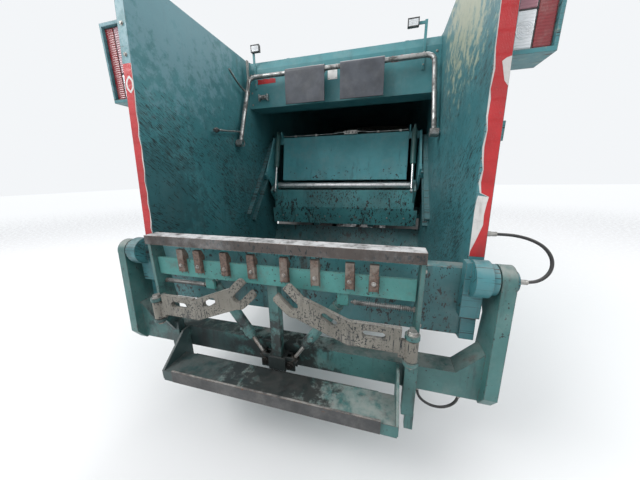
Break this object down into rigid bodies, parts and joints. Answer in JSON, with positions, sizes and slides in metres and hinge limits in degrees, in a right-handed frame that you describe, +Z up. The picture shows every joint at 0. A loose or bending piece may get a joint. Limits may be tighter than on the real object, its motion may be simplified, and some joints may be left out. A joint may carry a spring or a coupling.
{
  "type": "rear loading refuse truck",
  "caption": "Rear loading refuse truck: tilting cab, hollow body with ejector, lifting tailgate with hopper, sliding packer, bin lifter with comb and hook arms.",
  "frame": {"origin": "on the ground, in the middle of the truck's length and width", "axes": "+Z up, +Y towards the cab, so the lifter is at -Y; +X to the truck's right"},
  "size_m": [2.7, 8.81, 3.148],
  "materials": {
    "teal_paint": "satin, dirty",
    "teal_lifter": "satin, dirty and scratched",
    "cab_paint": "gloss, dusty",
    "chassis_paint": "satin, dusty",
    "grey_paint": "matt, chipped",
    "worn_steel": "scraped, part rusted",
    "bright_steel": "polished",
    "rim_paint": "satin",
    "aluminium": "brushed",
    "tyre": "matt",
    "black_rubber": "matt",
    "dark_plastic": "grained",
    "lamp_plastic": "clear over red and amber",
    "head_lamp": "clear",
    "seat_cloth": "woven",
    "glass": "clear"
  },
  "bodies": {
    "chassis": {"chassis_frame": "chassis_paint", "powertrain": "chassis_paint", "front_axle": "chassis_paint", "rear_axle": "chassis_paint", "fuel_tank": "aluminium", "battery_box": "chassis_paint", "silencer": "chassis_paint", "side_guards": "aluminium", "mudguards": "dark_plastic", "front_bumper": "dark_plastic", "headlamps": "head_lamp", "body_floor": "teal_paint", "body_shell": "teal_paint", "body_front_wall": "teal_paint"},
    "cab": {"cab_floor": "dark_plastic", "cab_shell": "cab_paint", "windscreen": "glass", "cab_front_panel": "cab_paint", "dashboard": "dark_plastic", "seats": "seat_cloth", "mirrors": "dark_plastic"},
    "ejector": {"ejector_plate": "grey_paint"},
    "tailgate": {"tailgate_sides": "teal_paint", "hopper_trough": "teal_paint", "tailgate_beam": "teal_paint", "tail_lamps": "lamp_plastic"},
    "gate_ram_barrel_pair": {"gate_ram_barrels": "chassis_paint"},
    "gate_ram_rod_pair": {"gate_ram_rods": "bright_steel"},
    "carriage": {"packer_carriage": "teal_paint"},
    "blade": {"packer_blade": "grey_paint"},
    "blade_ram_barrel_pair": {"blade_ram_barrels": "chassis_paint"},
    "blade_ram_rod_pair": {"blade_ram_rods": "bright_steel"},
    "bin_stop": {"bin_stop_frame": "teal_lifter", "stop_flaps": "black_rubber"},
    "lifter": {"lifter_frame": "teal_lifter", "step_lip": "chassis_paint", "clamp_bar": "worn_steel"},
    "lifter_ram_barrel_pair": {"lifter_ram_barrels": "chassis_paint"},
    "lifter_ram_rod_pair": {"lifter_ram_rods": "bright_steel"},
    "comb": {"comb_bar": "worn_steel"},
    "steered_hub_left": {"knuckle_left": "chassis_paint"},
    "front_wheel_left": {"front_tyre_left": "tyre", "front_rim_left": "rim_paint"},
    "rear_wheels_left": {"rear_tyres_left": "tyre", "rear_rims_left": "rim_paint"},
    "door_left": {"door_left": "cab_paint", "door_glass_left": "glass"},
    "hook_arm_left": {"hook_arm_left": "grey_paint"},
    "comb_barrel_left": {"comb_ram_barrel_left": "chassis_paint"},
    "comb_rod_left": {"comb_ram_rod_left": "bright_steel"},
    "steered_hub_right": {"knuckle_right": "chassis_paint"},
    "front_wheel_right": {"front_tyre_right": "tyre", "front_rim_right": "rim_paint"},
    "rear_wheels_right": {"rear_tyres_right": "tyre", "rear_rims_right": "rim_paint"},
    "door_right": {"door_right": "cab_paint", "door_glass_right": "glass"},
    "hook_arm_right": {"hook_arm_right": "grey_paint"},
    "comb_barrel_right": {"comb_ram_barrel_right": "chassis_paint"},
    "comb_rod_right": {"comb_ram_rod_right": "bright_steel"}
  },
  "joints": [
    {"name": "steer_left", "type": "hinge", "parent": "chassis", "child": "steered_hub_left", "pos_m": [-0.87, 3.055, 0.538], "axis": [0, 0, 1], "range_deg": [-38, 38]},
    {"name": "front_wheel_spin_left", "type": "hinge", "parent": "steered_hub_left", "child": "front_wheel_left", "pos_m": [-1.01, 3.055, 0.538], "axis": [1, 0, 0], "continuous": true},
    {"name": "rear_wheels_spin_left", "type": "hinge", "parent": "chassis", "child": "rear_wheels_left", "pos_m": [-0.92, -1.045, 0.538], "axis": [1, 0, 0], "continuous": true},
    {"name": "steer_right", "type": "hinge", "parent": "chassis", "child": "steered_hub_right", "pos_m": [0.87, 3.055, 0.538], "axis": [0, 0, 1], "range_deg": [-38, 38]},
    {"name": "front_wheel_spin_right", "type": "hinge", "parent": "steered_hub_right", "child": "front_wheel_right", "pos_m": [1.01, 3.055, 0.538], "axis": [1, 0, 0], "continuous": true},
    {"name": "rear_wheels_spin_right", "type": "hinge", "parent": "chassis", "child": "rear_wheels_right", "pos_m": [0.92, -1.045, 0.538], "axis": [1, 0, 0], "continuous": true},
    {"name": "cab_tilt", "type": "hinge", "parent": "chassis", "child": "cab", "pos_m": [0, 4.29, 0.86], "axis": [-1, 0, 0], "range_deg": [0, 55]},
    {"name": "door_swing_left", "type": "hinge", "parent": "cab", "child": "door_left", "pos_m": [-1.155, 4.055, 2], "axis": [0, 0, -1], "range_deg": [0, 70]},
    {"name": "door_swing_right", "type": "hinge", "parent": "cab", "child": "door_right", "pos_m": [1.155, 4.055, 2], "axis": [0, 0, 1], "range_deg": [0, 70]},
    {"name": "ejector_slide", "type": "slide", "parent": "chassis", "child": "ejector", "axis": [0, -1, 0], "range_m": [0, 3.7]},
    {"name": "tailgate_lift", "type": "hinge", "parent": "chassis", "child": "tailgate", "pos_m": [0, -2.005, 3.11], "axis": [-1, 0, 0], "range_deg": [0, 80]},
    {"name": "gate_ram_swing", "type": "hinge", "parent": "chassis", "child": "gate_ram_barrel_pair", "pos_m": [0, -1.79, 1.61], "axis": [1, 0, 0], "range_deg": [-7, 1]},
    {"name": "gate_ram_extend", "type": "slide", "parent": "gate_ram_barrel_pair", "child": "gate_ram_rod_pair", "axis": [0, -0.5049, 0.8632], "range_m": [0, 0.785]},
    {"name": "carriage_slide", "type": "slide", "parent": "tailgate", "child": "carriage", "axis": [0, -0.6428, -0.766], "range_m": [0, 0.6]},
    {"name": "blade_swing", "type": "hinge", "parent": "carriage", "child": "blade", "pos_m": [0, -2.155, 1.58], "axis": [-1, 0, 0], "range_deg": [-10, 85]},
    {"name": "blade_ram_swing", "type": "hinge", "parent": "carriage", "child": "blade_ram_barrel_pair", "pos_m": [0, -2.11, 2.235], "axis": [1, 0, 0], "range_deg": [-1, 3]},
    {"name": "blade_ram_extend", "type": "slide", "parent": "blade_ram_barrel_pair", "child": "blade_ram_rod_pair", "axis": [0, 0.2756, 0.9613], "range_m": [-0.03, 0.235]},
    {"name": "bin_stop_swing", "type": "hinge", "parent": "tailgate", "child": "bin_stop", "pos_m": [0, -2.895, 2.05], "axis": [1, 0, 0], "range_deg": [0, 60]},
    {"name": "lifter_tip", "type": "hinge", "parent": "tailgate", "child": "lifter", "pos_m": [0, -4.105, 1.215], "axis": [-1, 0, 0], "range_deg": [0, 110]},
    {"name": "lifter_ram_swing", "type": "hinge", "parent": "tailgate", "child": "lifter_ram_barrel_pair", "pos_m": [0, -3.305, 1.065], "axis": [1, 0, 0], "range_deg": [-1, 1.5]},
    {"name": "lifter_ram_extend", "type": "slide", "parent": "lifter_ram_barrel_pair", "child": "lifter_ram_rod_pair", "axis": [0, -0.9963, 0.0864], "range_m": [0, 0.27]},
    {"name": "comb_lower", "type": "slide", "parent": "lifter", "child": "comb", "axis": [0, 0, -1], "range_m": [0, 0.12]},
    {"name": "comb_ram_swing_left", "type": "hinge", "parent": "comb", "child": "comb_barrel_left", "pos_m": [-0.4, -4.185, 1.075], "axis": [0, -1, 0], "range_deg": [0, 8.2]},
    {"name": "comb_ram_retract_left", "type": "slide", "parent": "comb_barrel_left", "child": "comb_rod_left", "axis": [-0.5587, 0, 0.8294], "range_m": [0, 0.0955]},
    {"name": "hook_arm_swing_left", "type": "hinge", "parent": "lifter", "child": "hook_arm_left", "pos_m": [-0.738, -4.307, 0.915], "axis": [0, 0, -1], "range_deg": [0, 90]},
    {"name": "comb_ram_swing_right", "type": "hinge", "parent": "comb", "child": "comb_barrel_right", "pos_m": [0.4, -4.185, 1.075], "axis": [0, 1, 0], "range_deg": [0, 8.2]},
    {"name": "comb_ram_retract_right", "type": "slide", "parent": "comb_barrel_right", "child": "comb_rod_right", "axis": [0.5587, 0, 0.8294], "range_m": [0, 0.0955]},
    {"name": "hook_arm_swing_right", "type": "hinge", "parent": "lifter", "child": "hook_arm_right", "pos_m": [0.738, -4.307, 0.915], "axis": [0, 0, 1], "range_deg": [0, 90]}
  ],
  "couplings": [
    {"joint": "steer_right", "follows": "steer_left", "ratio": 1},
    {"joint": "gate_ram_swing", "follows": "tailgate_lift", "ratio": -0.08577},
    {"joint": "gate_ram_extend", "follows": "tailgate_lift", "m_per_rad": 0.55812},
    {"joint": "blade_ram_swing", "follows": "blade_swing", "ratio": 0.03133},
    {"joint": "blade_ram_extend", "follows": "blade_swing", "m_per_rad": 0.15442},
    {"joint": "lifter_ram_swing", "follows": "lifter_tip", "ratio": 0.01244},
    {"joint": "lifter_ram_extend", "follows": "lifter_tip", "m_per_rad": 0.13625},
    {"joint": "comb_ram_swing_left", "follows": "comb_lower", "rad_per_m": 1.1728},
    {"joint": "comb_ram_retract_left", "follows": "comb_lower", "ratio": 0.79},
    {"joint": "comb_ram_swing_right", "follows": "comb_lower", "rad_per_m": 1.1728},
    {"joint": "comb_ram_retract_right", "follows": "comb_lower", "ratio": 0.79}
  ]
}
